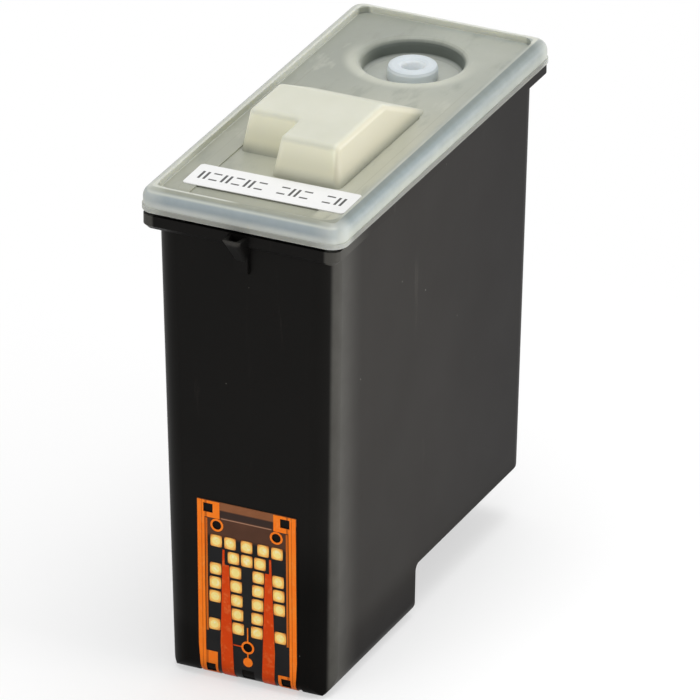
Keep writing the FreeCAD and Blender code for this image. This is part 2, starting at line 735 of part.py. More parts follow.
def well_space():
    """Room of the well, its lip flared in short steps."""
    lip = []
    for step in range(WELL_LIP_STEPS + 1):
        turn = math.pi / 2 * step / WELL_LIP_STEPS
        r = WELL_R + WELL_LIP_R * (1 - math.cos(turn))
        lip.append((r, FIELD_Z - WELL_LIP_R * (1 - math.sin(turn))))
    flare_r = WELL_R + WELL_LIP_R
    return turned([(0, WELL_Z), (WELL_R - WELL_FOOT_CUT, WELL_Z), (WELL_R, WELL_Z + WELL_FOOT_CUT)]
                  + lip + [(flare_r, FIELD_Z + 1), (0, FIELD_Z + 1)], 0, WELL_Y)


def foam_ribs():
    """Ribs under the plate that hold the foam down."""
    z_high = PLATE_Z + 0.3
    y_front = PANEL_FRONT_Y + WALL + SKIRT_GAP + SKIRT_T
    half = PANEL_W / 2
    loop = box(-half, half, y_front, PANEL_BACK_Y, FOAM_Z, z_high)
    inner = box(-half + LID_RIB_T, half - LID_RIB_T, y_front + LID_RIB_T, PANEL_BACK_Y - LID_RIB_T,
                FOAM_Z - 1, z_high + 1)
    y_cross = LID_FRONT_Y + CROSS_RIB_BACK
    reach = half_width(LID_Z) - WALL - SKIRT_GAP - SKIRT_T / 2
    cross = box(-reach, reach, y_cross - LID_RIB_T / 2, y_cross + LID_RIB_T / 2, FOAM_Z, z_high)
    gap = box(-half + LID_RIB_T / 2, half - LID_RIB_T / 2, y_cross - 1, y_cross + 1, FOAM_Z - 1, z_high + 1)
    return loop.cut(inner).fuse(cross.cut(gap))


def lid():
    plate = lid_plate().cut(lid_underside())
    plate = plate.fuse(skirt()).fuse(foam_ribs())
    y_panel = (PANEL_FRONT_Y + PANEL_BACK_Y) / 2
    panel = rounded_plate(PANEL_W, PANEL_BACK_Y - PANEL_FRONT_Y, y_panel, PANEL_Z, FIELD_Z + 1, PANEL_R)
    plate = plate.cut(panel)
    plate = plate.fuse(grip()).cut(grip_block(GRIP_WALL))
    plate = plate.fuse(well_cup()).cut(well_space())
    hole_z = WELL_LOW_Z - 1
    hole_h = WELL_FLOOR_T + 2
    stem_hole = Part.makeCylinder(PLUG_STEM_R, hole_h, vec(0, WELL_Y, hole_z))
    vent = Part.makeCylinder(VENT_R, hole_h, vec(VENT_X, WELL_Y, hole_z))
    return plate.cut(stem_hole).cut(vent).removeSplitter()


def fill_plug():
    """Soft collar plug: a rim in the well, a stem through its floor and a barb under it."""
    top = FIELD_Z - PLUG_TOP_DROP
    barb_z = WELL_LOW_Z - PLUG_BARB_H
    edge = PLUG_EDGE_R
    near = edge * (1 - math.sqrt(0.5))
    profile = [(0, barb_z), (PLUG_STEM_R * 0.8, barb_z), (PLUG_BARB_R, WELL_LOW_Z - PLUG_BARB_H / 3),
               (PLUG_BARB_R, WELL_LOW_Z), (PLUG_STEM_R, WELL_LOW_Z), (PLUG_STEM_R, WELL_Z),
               (PLUG_R, WELL_Z), (PLUG_R, top - edge), (PLUG_R - near, top - near), (PLUG_R - edge, top),
               (PLUG_BORE_R + edge, top), (PLUG_BORE_R + near, top - near), (PLUG_BORE_R, top - edge),
               (PLUG_BORE_R, top - PLUG_BORE_DEPTH), (0, top - PLUG_BORE_DEPTH)]
    return turned(profile, 0, WELL_Y)


def label():
    """Paper strip on the field, a little turned, with cut corners."""
    width = FIELD_W - LABEL_LEFT_GAP - LABEL_RIGHT_GAP
    half = width / 2
    end = LABEL_L / 2
    cut = LABEL_CUT
    outline = [(half, end - cut), (half - cut, end), (cut - half, end), (-half, end - cut),
               (-half, cut - end), (cut - half, -end), (half - cut, -end), (half, cut - end)]
    strip = prism([vec(x, y, 0) for x, y in outline], vec(0, 0, LABEL_T))
    strip.rotate(vec(0, 0, 0), vec(0, 0, 1), LABEL_TURN)
    x_mid = (LABEL_LEFT_GAP - LABEL_RIGHT_GAP) / 2
    strip.translate(vec(x_mid, FIELD_FRONT_Y + LABEL_FRONT_GAP + end, FIELD_Z))
    return strip


NODES = {
    "body": body,
    "lid": lid,
    "fill_plug": fill_plug,
    "label": label,
    "ink_foam": ink_foam,
    "filter_screen": filter_screen,
    "flex_film": flex_film,
    "copper_traces": copper_traces,
    "contact_pads": contact_pads,
    "printhead_chip": printhead_chip,
    "nozzle_plate": nozzle_plate,
    "encapsulant": encapsulant,
}

os.makedirs("parts", exist_ok=True)
for name, make in NODES.items():
    shape = make()
    shape.exportStep("parts/" + name + ".step")
    print(name, "solids", len(shape.Solids), "valid", shape.isValid(), "volume", round(shape.Volume, 2))
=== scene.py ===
import math

import bpy
from mathutils import Matrix, Vector


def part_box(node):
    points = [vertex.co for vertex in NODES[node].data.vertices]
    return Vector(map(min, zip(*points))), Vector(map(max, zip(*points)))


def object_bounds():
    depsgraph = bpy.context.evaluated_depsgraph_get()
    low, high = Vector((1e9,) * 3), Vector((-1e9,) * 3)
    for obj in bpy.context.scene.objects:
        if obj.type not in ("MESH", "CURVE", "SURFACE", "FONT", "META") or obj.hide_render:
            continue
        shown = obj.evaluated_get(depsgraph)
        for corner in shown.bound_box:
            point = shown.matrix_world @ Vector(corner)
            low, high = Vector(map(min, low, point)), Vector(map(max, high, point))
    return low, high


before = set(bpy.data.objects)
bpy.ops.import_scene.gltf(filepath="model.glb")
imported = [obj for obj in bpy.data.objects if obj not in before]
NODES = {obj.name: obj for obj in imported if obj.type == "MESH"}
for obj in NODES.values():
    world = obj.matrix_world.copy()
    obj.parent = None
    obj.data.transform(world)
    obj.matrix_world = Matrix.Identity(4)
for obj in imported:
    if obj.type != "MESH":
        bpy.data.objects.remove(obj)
cad_box = [list(map(float, corner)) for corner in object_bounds()]
MM = 0.001

# Places read from the frame, in metres
LID_LOW, LID_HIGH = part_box("lid")
FILM_LOW, FILM_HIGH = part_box("flex_film")
LABEL_LOW, LABEL_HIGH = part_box("label")
PLUG_LOW, PLUG_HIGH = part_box("fill_plug")
HOOK_FRONT_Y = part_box("body")[0].y
FIELD_Z = LABEL_LOW.z
LID_MID_Y = (LID_LOW.y + LID_HIGH.y) / 2
LID_HALF_W = (LID_HIGH.x - LID_LOW.x) / 2
LID_HALF_L = (LID_HIGH.y - LID_LOW.y) / 2
WELL_Y = (PLUG_LOW.y + PLUG_HIGH.y) / 2

# Lid: rim and field
RIM_Z = FIELD_Z + 0.8 * MM
RIM_W = 1.65 * MM
RIM_TURN = (RIM_W - 0.2 * MM, RIM_W - 0.4 * MM)     # the field's colours turn into the rim's
PARTING_Z = RIM_Z - 2.3 * MM
PARTING_SOFT = 0.02 * MM
CORNER_SOFT = 1.0 * MM
CORNER_REACH = 4.2 * MM
PANEL_HALF_W = 8.0 * MM
PANEL_FRONT_Y = LID_LOW.y + 2.3 * MM
PANEL_BACK_Y = LABEL_LOW.y + 3 * MM
PANEL_SOFT = 0.5 * MM
SKIRT_LINE = RIM_W + 1.9 * MM
SKIRT_LINE_W = 0.1 * MM

# Lid: grip and well
GRIP_HALF_W = 7.75 * MM
GRIP_FRONT_Y = LID_LOW.y + 11.6 * MM
GRIP_BACK_Y = LID_LOW.y + 36.0 * MM
RAMP_TOP_Y = LID_LOW.y + 25.6 * MM
GRIP_WALL_Z = LID_HIGH.z - 0.8 * MM
WELL_R = 6.27 * MM
WELL_FLOOR_Z = FIELD_Z - 2.4 * MM
VENT_X = 3.8 * MM
VENT_SHADE_R = 0.85 * MM
PLUG_BORE_R = 1.7 * MM

# Label: its turn and its row of printed marks
LABEL_TURN = 0.8            # degrees
MARKS = 13
MARK_PITCH = 1.48 * MM
BLANKS = (6, 10)            # marks left out, as between words
MARK_HALF_H = 1.02 * MM
DASH_FROM = 0.7 * MM
MARK_SOFT = 0.02            # share of the pitch

# Shell: its drafted walls at the top of the flange
SHELL_TOP_Z = 61.05 * MM
SHELL_HALF_W = 11.8 * MM
SHELL_FRONT_Y = -13.77 * MM
DRAFT = math.tan(math.radians(1.0))
# Width of the painted highlight on the front corners
CORNER_HIGHLIGHT_W = 0.75 * MM
FOOT_H = 9 * MM
GLOSS = 0.075               # specular level of the black plastic
GLOSS_PAINTED_SHADE = 0.02            # the same low on the front and on the foot

# Circuit: places down from the top edge of the film
CIRCUIT_X = (FILM_LOW.x + FILM_HIGH.x) / 2
TOP_BAND = 1.15 * MM
DARK_BAND = (1.1 * MM, 2.0 * MM)
PALE_LINE = (2.1 * MM, 2.22 * MM)
PALE_LINE_X = (-3.2 * MM, 3.5 * MM)
BARE_HEAD = 4.3 * MM
ROW_TOP = 5.27 * MM
ROW_PITCH = 1.9 * MM
COLUMN_ROW = 9.2 * MM       # where the columns have the places given below

# Circuit: places out from its middle
TOP_ROW_X = 2.2 * MM
SECOND_ROW_X = 1.76 * MM
INNER_COLUMN = 1.52 * MM
OUTER_COLUMN = 4.16 * MM
INNER_SPREAD = 0.036
OUTER_SPREAD = 0.03
STRIP_SEAM = (5.92 * MM, 6.02 * MM)
THIN_STRIP = (5.26 * MM, 5.56 * MM)
BUS_REACH = (0.7 * MM, 3.75 * MM)
DIMPLE_R = 0.64 * MM
PLATE_R = 0.72 * MM

# Camera, at the photograph's angle
IMAGE_W = 700
SENSOR = 36.0
FOCAL_PX = 10525.0          # focal length in pixels of the image
AZIMUTH = 25.305            # degrees, from the front towards the right side
ELEVATION = 26.306
ROLL = 0.134
DISTANCE = 1.27538
AIM = Vector((0.0, 15.08 * MM, 35.05 * MM))
SLIDE_RIGHT = 0.418 * MM
SLIDE_UP = -2.287 * MM
CLIP = (0.05, 20.0)

# Light: name, place, aim, width, height and power of each lamp
CENTRE = (0.0, LID_MID_Y, 0.035)
CORNER = (0.012, -0.004, 0.035)
LAMPS = (
    ("top_light", (0.05, 0.1, 0.9), CENTRE, 0.6, 0.6, 4.0),
    ("right_light", (0.75, 0.75, 0.12), CENTRE, 0.5, 0.3, 2.6),
    ("corner_light", (0.16, -0.004, 0.06), CORNER, 0.05, 0.1, 0.12),
    ("front_light", (-0.3, -0.9, 0.5), CENTRE, 0.5, 0.5, 1.4),
)
AMBIENT = 0.5
WHITE = (1.0, 1.0, 1.0, 1.0)

# Floor, a little below the object
FLOOR_Z = cad_box[0][2] - 0.02 * MM
FLOOR_HALF = 4.0
FLOOR_COLOUR = (0.9, 0.9, 0.9, 1.0)
FLOOR_SHADE_R = (0.045, 0.12)   # the floor turns plain white from the first to the second
FLOOR_LIFT = 0.1            # its own light, seen by the camera
SHADOW_FADE = 0.45          # how far the shadow on the floor is mixed with white


def srgb(red, green, blue):
    """Linear colour from 0 to 255 screen values."""
    out = []
    for value in (red, green, blue):
        share = value / 255
        out.append(share / 12.92 if share <= 0.04045 else ((share + 0.055) / 1.055) ** 2.4)
    return (*out, 1.0)


class Graph:
    """A node material, written as short calls."""

    def __init__(self, name):
        self.material = bpy.data.materials.new(name)
        self.material.use_nodes = True
        self.tree = self.material.node_tree
        self.shader = self.tree.nodes["Principled BSDF"]
        self.output = self.tree.nodes["Material Output"]
        self.place = self.add("ShaderNodeTexCoord").outputs["Object"]
        split = self.add("ShaderNodeSeparateXYZ")
        self.link(self.place, split.inputs[0])
        self.x, self.y, self.z = split.outputs

    def add(self, kind, **settings):
        node = self.tree.nodes.new(kind)
        for key, value in settings.items():
            setattr(node, key, value)
        return node

    def link(self, source, target):
        self.tree.links.new(source, target)

    def feed(self, value, socket):
        if isinstance(value, bpy.types.NodeSocket):
            self.link(value, socket)
        elif isinstance(value, (int, float)) and hasattr(socket.default_value, "__len__"):
            socket.default_value = (value,) * len(socket.default_value)
        else:
            socket.default_value = value

    def set(self, **values):
        """Constant values on the shader's own sockets, with _ for a space."""
        for key, value in values.items():
            self.shader.inputs[key.replace("_", " ")].default_value = value

    # Numbers

    def math(self, operation, a, b=0.0, c=None):
        node = self.add("ShaderNodeMath", operation=operation)
        self.feed(a, node.inputs[0])
        self.feed(b, node.inputs[1])
        if c is not None:
            self.feed(c, node.inputs[2])
        return node.outputs[0]

    def plus(self, a, b):
        return self.math("ADD", a, b)

    def minus(self, a, b):
        return self.math("SUBTRACT", a, b)

    def times(self, a, b):
        return self.math("MULTIPLY", a, b)

    def most(self, a, b):
        return self.math("MAXIMUM", a, b)

    def least(self, a, b):
        return self.math("MINIMUM", a, b)

    def apart(self, a, b=0.0):
        """Distance between two numbers."""
        return self.math("ABSOLUTE", self.minus(a, b))

    def length(self, a, b):
        """Length of a flat vector."""
        return self.math("SQRT", self.plus(self.times(a, a), self.times(b, b)))

    def blend(self, factor, a, b):
        """Number between a and b."""
        node = self.add("ShaderNodeMix", data_type="FLOAT")
        self.feed(factor, node.inputs[0])
        self.feed(a, node.inputs[2])
        self.feed(b, node.inputs[3])
        return node.outputs[0]

    # Masks

    def step(self, value, low, high):
        """0 below low, 1 above high, smooth between. low may be the larger one."""
        node = self.add("ShaderNodeMapRange", interpolation_type="SMOOTHSTEP")
        flip = low > high
        self.feed(value, node.inputs["Value"])
        node.inputs["From Min"].default_value = min(low, high)
        node.inputs["From Max"].default_value = max(low, high)
        node.inputs["To Min"].default_value = 1.0 if flip else 0.0
        node.inputs["To Max"].default_value = 0.0 if flip else 1.0
        return node.outputs["Result"]

    def span(self, value, low, high, soft):
        """1 between low and high, with soft edges."""
        rise = self.step(value, low - soft, low + soft)
        return self.times(rise, self.step(value, high + soft, high - soft))

    # Textures

    def stretch(self, x=1.0, y=1.0, z=1.0):
        node = self.add("ShaderNodeMapping")
        self.link(self.place, node.inputs["Vector"])
        node.inputs["Scale"].default_value = (x, y, z)
        return node.outputs["Vector"]

    def noise(self, scale, detail=2.0, rough=0.5, vector=None):
        """Noise whose features are scale per metre."""
        node = self.add("ShaderNodeTexNoise")
        self.link(vector or self.place, node.inputs["Vector"])
        node.inputs["Scale"].default_value = scale
        node.inputs["Detail"].default_value = detail
        node.inputs["Roughness"].default_value = rough
        return node.outputs["Fac"]

    def specks(self, scale, size):
        """Round specks, 1 inside."""
        node = self.add("ShaderNodeTexVoronoi")
        self.link(self.place, node.inputs["Vector"])
        node.inputs["Scale"].default_value = scale
        return self.step(node.outputs["Distance"], size, size * 0.6)

    # Colours

    def mix(self, factor, a, b):
        node = self.add("ShaderNodeMix", data_type="RGBA")
        self.feed(factor, node.inputs[0])
        self.feed(a, node.inputs[6])
        self.feed(b, node.inputs[7])
        return node.outputs[2]

    def tones(self, factor, first, second):
        """Colour between two screen colours."""
        return self.mix(factor, srgb(*first), srgb(*second))

    def paint(self, under, mask, strength, tone):
        """Lays a screen colour, or the output of a node, over another where the mask is 1."""
        over = srgb(*tone) if isinstance(tone, tuple) else tone
        return self.mix(self.times(mask, strength), under, over)

    # What the shader is given

    def colour(self, value):
        self.feed(value, self.shader.inputs["Base Color"])

    def roughness(self, value):
        self.feed(value, self.shader.inputs["Roughness"])

    def bump(self, height, depth, strength=1.0):
        node = self.add("ShaderNodeBump")
        node.inputs["Strength"].default_value = strength
        node.inputs["Distance"].default_value = depth
        self.feed(height, node.inputs["Height"])
        self.link(node.outputs["Normal"], self.shader.inputs["Normal"])


def dress(node, material):
    """Gives a carried-over node its material."""
    piece = NODES[node]
    piece.data.materials.clear()
    piece.data.materials.append(material)


# Shell

def shell_plastic():
    """Black moulded plastic: fine spark-eroded grain, pale specks, scuffs, painted light on its right wall,
    painted highlights on hook and front corners.
    """
    g = Graph("shell_plastic")
    g.set(Specular_Tint=(1.0, 0.95, 0.91, 1.0))
    cloud = g.noise(90, detail=4)
    dust = g.times(g.specks(420, 0.05), g.step(g.noise(140), 0.5, 0.62))
    scuff = g.step(g.noise(60, detail=6, rough=0.7, vector=g.stretch(6, 6, 0.6)), 0.6, 0.74)
    base = g.tones(cloud, (12, 12, 11), (19, 18, 17))
    base = g.paint(base, dust, 0.5, (110, 108, 102))
    base = g.paint(base, scuff, 0.16, (70, 64, 60))

    # Distances from the drafted side and front walls
    draft = g.times(g.minus(SHELL_TOP_Z, g.z), DRAFT)
    to_side = g.minus(g.minus(SHELL_HALF_W, draft), g.apart(g.x))
    to_front = g.minus(g.y, g.plus(SHELL_FRONT_Y, draft))

    # Right wall, painted paler than the front as painted light, and darker towards the back and the foot as
    # painted shade
    right = g.times(g.step(to_side, 0.6 * MM, 0.2 * MM), g.step(g.x, 2 * MM, 5 * MM))
    fade = g.times(g.step(g.y, 44 * MM, 0.0), g.step(g.z, 2 * MM, FOOT_H))
    wall = g.tones(g.noise(40, detail=5, vector=g.stretch(1, 1, 0.3)), (27, 25, 22), (36, 33, 30))
    wall = g.paint(wall, dust, 0.7, (150, 148, 142))
    wall = g.paint(wall, scuff, 0.25, (74, 70, 65))
    base = g.mix(right, base, g.mix(fade, srgb(21, 19, 18), wall))

    # Painted highlights on the edges of the hook and on the front corners
    hook_highlight = g.step(g.y, HOOK_FRONT_Y + 0.7 * MM, HOOK_FRONT_Y + 0.2 * MM)
    base = g.paint(base, hook_highlight, 0.7, (62, 60, 57))
    corner_highlight = g.times(g.step(to_side, CORNER_HIGHLIGHT_W, 0.35 * MM), g.step(to_front, 9 * MM, 1.2 * MM))
    corner_highlight = g.times(corner_highlight, g.blend(g.noise(400, detail=4), 0.55, 1.0))
    g.colour(g.paint(base, corner_highlight, 0.9, (82, 81, 77)))

    # Painted shade: less gloss low on the front and on the foot darkens them
    low = g.times(g.step(g.z, 24 * MM, 12 * MM), g.step(g.x, -14 * MM, 8 * MM))
    low = g.times(low, g.step(to_front, 2 * MM, 1 * MM))
    low = g.most(low, g.times(g.step(g.z, FOOT_H, 5 * MM), 0.6))
    g.feed(g.blend(low, GLOSS, GLOSS_PAINTED_SHADE), g.shader.inputs["Specular IOR Level"])
    g.roughness(g.blend(cloud, 0.4, 0.5))
    g.bump(g.noise(5200, detail=2), 0.012 * MM, 0.6)
    return g.material


# Lid

class LidGraph(Graph):
    """Colours of the lid, by where a point lies on it."""

    def __init__(self, name):
        super().__init__(name)
        self.across = self.minus(LID_HALF_W, self.apart(self.x))
        self.along = self.minus(LID_HALF_L, self.apart(self.y, LID_MID_Y))
        self.edge = self.math("SMOOTH_MIN", self.across, self.along, CORNER_SOFT)
        self.at_end = self.step(self.minus(self.across, self.along), -0.6 * MM, 0.6 * MM)
        self.behind = self.step(self.y, LID_MID_Y - 6 * MM, LID_MID_Y + 16 * MM)
        self.cloud = self.noise(260, detail=4)
        self.mottle = self.noise(700, detail=5, rough=0.65)

    def mottled(self, first, second):
        return self.tones(self.mottle, first, second)

    def field(self):
        """Recessed field, grey over the foam and warmer towards the front right."""
        streak = self.noise(170, detail=5, rough=0.6, vector=self.stretch(2.2, 0.7, 1.0))
        left = self.step(self.x, 2 * MM, -9 * MM)
        far_left = self.times(self.behind, self.step(self.x, 5 * MM, -7 * MM))
        field = self.tones(self.cloud, (174, 175, 158), (188, 188, 172))
        field = self.paint(field, self.behind, 0.75, self.tones(self.cloud, (156, 161, 152), (172, 176, 167)))
        field = self.paint(field, far_left, 0.6, self.mottled((138, 143, 136), (156, 161, 153)))
        field = self.paint(field, left, 0.6, self.tones(streak, (136, 140, 130), (156, 158, 146)))
        field = self.paint(field, self.step(streak, 0.52, 0.7), 0.45, (134, 138, 127))
        field = self.paint(field, self.step(streak, 0.42, 0.28), 0.35, (202, 203, 190))
        # Painted shade over the recessed panel in front of the label
        panel_shade = self.times(self.span(self.x, -PANEL_HALF_W, PANEL_HALF_W, PANEL_SOFT),
                           self.span(self.y, PANEL_FRONT_Y, PANEL_BACK_Y, PANEL_SOFT))
        field = self.paint(field, panel_shade, 0.6, (146, 148, 132))
        return self.field_edge(field)

    def field_edge(self, field):
        """Darker over the wall of the shell, with the line of the skirt, and the rim's inner wall painted
        pale as painted light.
        """
        over_wall = self.times(self.span(self.edge, RIM_W - 0.3 * MM, RIM_W + 0.8 * MM, 0.6 * MM),
                               self.step(self.x, -6 * MM, 0.0))
        shade = self.blend(self.behind, 0.6, 0.3)
        field = self.paint(field, over_wall, shade, self.mottled((134, 144, 146), (156, 165, 168)))
        before = self.times(self.step(self.along, RIM_W + 2.4 * MM, RIM_W + 0.4 * MM),
                            self.step(self.y, LID_LOW.y + 8 * MM, LID_LOW.y + 5 * MM))
        field = self.paint(field, before, 0.8, self.mottled((122, 125, 110), (140, 143, 128)))
        skirt = self.times(self.span(self.edge, SKIRT_LINE, SKIRT_LINE + SKIRT_LINE_W, 0.06 * MM),
                           self.step(self.y, WELL_Y, WELL_Y - 8 * MM))
        field = self.paint(field, skirt, 0.22, (126, 122, 100))
        # Painted light: the rim's inner wall painted pale on the left and at the back
        lit_side = self.most(self.step(self.x, 0.0, -3 * MM),
                             self.step(self.y, LID_HIGH.y - 4 * MM, LID_HIGH.y - 2.4 * MM))
        inner_wall = self.step(self.edge, RIM_W + 0.25 * MM, RIM_W + 0.05 * MM)
        return self.paint(field, lit_side, inner_wall, (202, 204, 194))

    def crest(self):
        """Top of the rim, dark on the right and the front, pale on the left and the back."""
        right = self.mottled((112, 121, 118), (130, 138, 136))
        left = self.mottled((174, 177, 168), (192, 195, 186))
        front = self.mottled((138, 141, 128), (156, 159, 147))
        sides = self.mix(self.step(self.x, 3 * MM, -3 * MM), right, left)
        ends = self.mix(self.step(self.y, LID_MID_Y, LID_MID_Y + 6 * MM), front, srgb(214, 216, 210))
        return self.mix(self.at_end, sides, ends)

    def rim(self):
        """Rim: blue-grey under its crest and pale where it stands over the edge of the shell."""
        fall = self.minus(RIM_Z, self.z)
        sides = self.mix(self.step(fall, 0.5 * MM, 1.9 * MM),
                         self.mottled((120, 131, 132), (138, 148, 149)),
                         self.mottled((160, 164, 156), (176, 180, 172)))
        sides = self.paint(sides, self.behind, 0.35, self.mottled((132, 137, 132), (154, 158, 153)))
        ends = self.mix(self.step(fall, 1.2 * MM, 2.1 * MM),
                        self.mottled((148, 159, 162), (164, 174, 178)),
                        self.mottled((192, 196, 192), (206, 209, 202)))
        # Painted highlight along the front and back faces of the rim, just under its crest
        painted_shine = self.span(fall, 0.26 * MM, 0.5 * MM, 0.12 * MM)
        ends = self.mix(painted_shine, ends, self.mottled((186, 191, 184), (200, 204, 197)))
        outside = self.mix(self.at_end, sides, ends)
        lip = self.tones(self.at_end, (116, 117, 112), (148, 149, 142))
        below = self.step(self.z, PARTING_Z + PARTING_SOFT, PARTING_Z - PARTING_SOFT)
        outside = self.mix(below, outside, lip)
        rim = self.mix(self.step(fall, 0.12 * MM, 0.4 * MM), self.crest(), outside)
        corner = self.step(self.length(self.across, self.along), CORNER_REACH, 1.6 * MM)
        return self.paint(rim, corner, 0.45, (200, 203, 197))

    def with_grip(self, colour):
        """Adds the grip, ivory where it stands clear of the shell, with painted light on its front walls."""
        grip = self.tones(self.noise(170, detail=4), (200, 201, 184), (218, 218, 203))
        # Painted light: the grip's front walls lighter towards their top edges, darker low down
        wall = self.times(self.step(self.z, LID_HIGH.z - 0.3 * MM, GRIP_WALL_Z),
                          self.step(self.y, RAMP_TOP_Y, RAMP_TOP_Y - 2 * MM))
        height = self.step(self.z, FIELD_Z + 1.5 * MM, GRIP_WALL_Z)
        grip = self.mix(wall, grip, self.tones(height, (226, 224, 200), (242, 240, 218)))
        right_wall = self.step(self.x, GRIP_HALF_W - 1.1 * MM, GRIP_HALF_W - 0.7 * MM)
        grip = self.mix(right_wall, grip, srgb(203, 199, 178))
        in_grip = self.times(self.span(self.x, -GRIP_HALF_W, GRIP_HALF_W, 0.2 * MM),
                             self.span(self.y, GRIP_FRONT_Y, GRIP_BACK_Y, 0.4 * MM))
        rise = self.step(self.z, FIELD_Z - 0.3 * MM, FIELD_Z + 1.6 * MM)
        return self.paint(colour, in_grip, rise, grip)

    def with_well(self, colour):
        """Adds the well: its wall dark at the back, a pale floor and lip, and painted shade in and around the
        vent.
        """
        offset = self.minus(self.y, WELL_Y)
        reach = self.length(self.x, offset)
        inside = self.step(reach, WELL_R + 1.0 * MM, WELL_R + 0.5 * MM)
        wall = self.times(self.step(reach, WELL_R - 0.6 * MM, WELL_R - 0.1 * MM),
                          self.step(self.z, FIELD_Z - 0.05 * MM, FIELD_Z - 0.7 * MM))
        wall = self.times(wall, self.times(inside, self.step(offset, -3 * MM, 3 * MM)))
        colour = self.paint(colour, wall, 0.85, (84, 91, 86))
        floor = self.times(inside, self.step(self.z, FIELD_Z - 1.9 * MM, FIELD_Z - 2.3 * MM))
        colour = self.paint(colour, floor, 0.8, self.mottled((176, 180, 172), (192, 195, 188)))
        lip = self.times(self.span(reach, WELL_R + 0.4 * MM, WELL_R + 1.9 * MM, 0.7 * MM),
                         self.step(offset, 4 * MM, -5 * MM))
        colour = self.paint(colour, lip, 0.6, (204, 206, 192))
        from_vent = self.add("ShaderNodeVectorMath", operation="DISTANCE")
        self.link(self.place, from_vent.inputs[0])
        from_vent.inputs[1].default_value = (VENT_X, WELL_Y, WELL_FLOOR_Z)
        vent = self.step(from_vent.outputs["Value"], VENT_SHADE_R, 0.4 * MM)
        return self.mix(vent, colour, srgb(48, 50, 48))


def lid_plastic():
    """Natural translucent plastic: milky, with the dark shell showing through near the edge."""
    g = LidGraph("lid_plastic")
    g.set(Subsurface_Weight=0.5, Subsurface_Radius=(1.6 * MM, 1.5 * MM, 1.2 * MM), Subsurface_Scale=1.0)
    g.set(Specular_IOR_Level=0.35, IOR=1.5)
    colour = g.mix(g.step(g.edge, *RIM_TURN), g.field(), g.rim())
    g.colour(g.with_well(g.with_grip(colour)))
    g.roughness(g.blend(g.cloud, 0.34, 0.48))
    g.bump(g.noise(900, detail=3), 0.02 * MM, 0.35)
    return g.material


def plug_plastic():
    """Soft pale plastic, lighter on its side and in its bore."""
    g = Graph("plug_plastic")
    g.set(Subsurface_Weight=0.5, Subsurface_Radius=(1.0 * MM, 1.1 * MM, 1.2 * MM), Subsurface_Scale=1.0)
    g.set(Specular_IOR_Level=0.3)
    reach = g.length(g.x, g.minus(g.y, WELL_Y))
    skin = g.tones(g.noise(400, detail=3), (198, 206, 210), (212, 219, 223))
    side = g.step(g.z, PLUG_HIGH.z - 0.1 * MM, PLUG_HIGH.z - 0.5 * MM)
    skin = g.mix(side, skin, srgb(226, 232, 234))
    bore = g.step(reach, PLUG_BORE_R, PLUG_BORE_R - 0.3 * MM)
    g.colour(g.mix(bore, skin, srgb(244, 248, 250)))
    g.roughness(g.blend(g.noise(900), 0.25, 0.4))
    g.bump(g.noise(1500), 0.01 * MM, 0.4)
    return g.material


def label_paper():
    """White paper with a row of plain printed bars and dashes."""
    g = Graph("label_paper")
    g.set(Specular_IOR_Level=0.3)
    fibre = g.noise(2600, detail=5, rough=0.7)
    paper = g.tones(fibre, (234, 234, 233), (243, 243, 243))
    turn = math.radians(LABEL_TURN)
    right = g.minus(g.x, (LABEL_LOW.x + LABEL_HIGH.x) / 2)
    back = g.minus(g.y, (LABEL_LOW.y + LABEL_HIGH.y) / 2)
    along = g.plus(g.times(right, math.cos(turn)), g.times(back, math.sin(turn)))
    across = g.minus(g.times(back, math.cos(turn)), g.times(right, math.sin(turn)))
    height = g.apart(across)
    count = g.plus(g.math("DIVIDE", along, MARK_PITCH), MARKS / 2)
    number = g.math("FLOOR", count)
    part = g.math("FRACT", count)
    bars = g.most(g.span(part, 0.14, 0.36, MARK_SOFT), g.span(part, 0.6, 0.82, MARK_SOFT))
    bars = g.times(bars, g.step(height, MARK_HALF_H + 0.03 * MM, MARK_HALF_H - 0.02 * MM))
    dashes = g.times(g.span(part, 0.12, 0.84, MARK_SOFT), g.span(height, DASH_FROM, MARK_HALF_H, 0.03 * MM))
    odd = g.math("MODULO", number, 2.0)
    marks = g.times(g.blend(odd, bars, dashes), g.span(count, 0.0, MARKS, 0.01))
    for blank in BLANKS:
        marks = g.times(marks, g.minus(1.0, g.math("COMPARE", number, blank, 0.1)))
    g.colour(g.paint(paper, marks, 0.92, (34, 34, 36)))
    g.roughness(g.blend(fibre, 0.5, 0.65))
    g.bump(fibre, 0.01 * MM, 0.4)
    return g.material


# Circuit

def film():
    """Amber film on black: brown over the bare head of the circuit, almost black below."""
    g = Graph("film")
    g.set(Specular_IOR_Level=0.1)
    cloud = g.noise(500, detail=3)
    down = g.minus(FILM_HIGH.z, g.z)
    low = g.tones(cloud, (20, 20, 21), (34, 34, 34))
    head = g.tones(cloud, (74, 47, 33), (96, 62, 45))
    top = g.tones(cloud, (128, 78, 48), (152, 98, 64))
    colour = g.mix(g.step(down, BARE_HEAD + 0.7 * MM, BARE_HEAD), low, head)
    colour = g.mix(g.step(down, TOP_BAND, TOP_BAND - 0.2 * MM), colour, top)
    colour = g.paint(colour, g.span(down, *DARK_BAND, 0.12 * MM), 0.7, (36, 34, 34))
    line = g.times(g.span(down, *PALE_LINE, 0.04 * MM), g.span(g.x, *PALE_LINE_X, 0.1 * MM))
    g.colour(g.paint(colour, line, 0.7, (200, 150, 120)))
    g.roughness(g.blend(cloud, 0.25, 0.38))
    g.bump(g.noise(1200), 0.01 * MM, 0.4)
    return g.material


